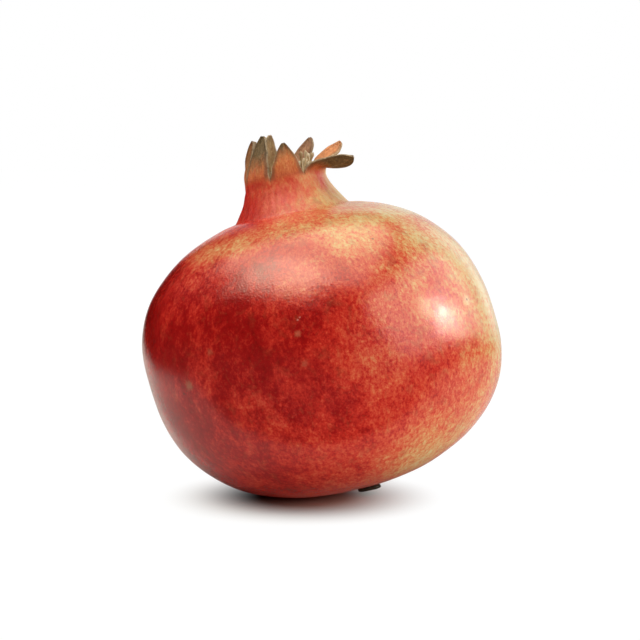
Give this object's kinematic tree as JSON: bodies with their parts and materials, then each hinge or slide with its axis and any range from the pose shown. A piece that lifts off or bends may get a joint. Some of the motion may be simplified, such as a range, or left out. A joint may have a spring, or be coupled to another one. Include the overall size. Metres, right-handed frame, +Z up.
{
  "type": "pomegranate",
  "caption": "Whole ripe pomegranate with its crown of dried sepals, stamens in the cup and a stub of stem, leaning on its underside.",
  "frame": {"origin": "centre of the small flat spot on the underside, where the fruit rests", "axes": "+Z up from the surface it rests on, +X towards the right of the picture, +Y away from the camera; the fruit's own axis leans 12 degrees towards -X and 4 degrees towards +Y"},
  "size_m": [0.1, 0.0992, 0.0995],
  "materials": {
    "rind": "semi-gloss mottled skin, crimson with gold",
    "dried_stamens": "dry, matt",
    "dark_wood": "dry, matt, rough"
  },
  "bodies": {
    "root": {"fruit": "rind", "stamens": "dried_stamens", "stem_stub": "dark_wood"}
  },
  "joints": []
}
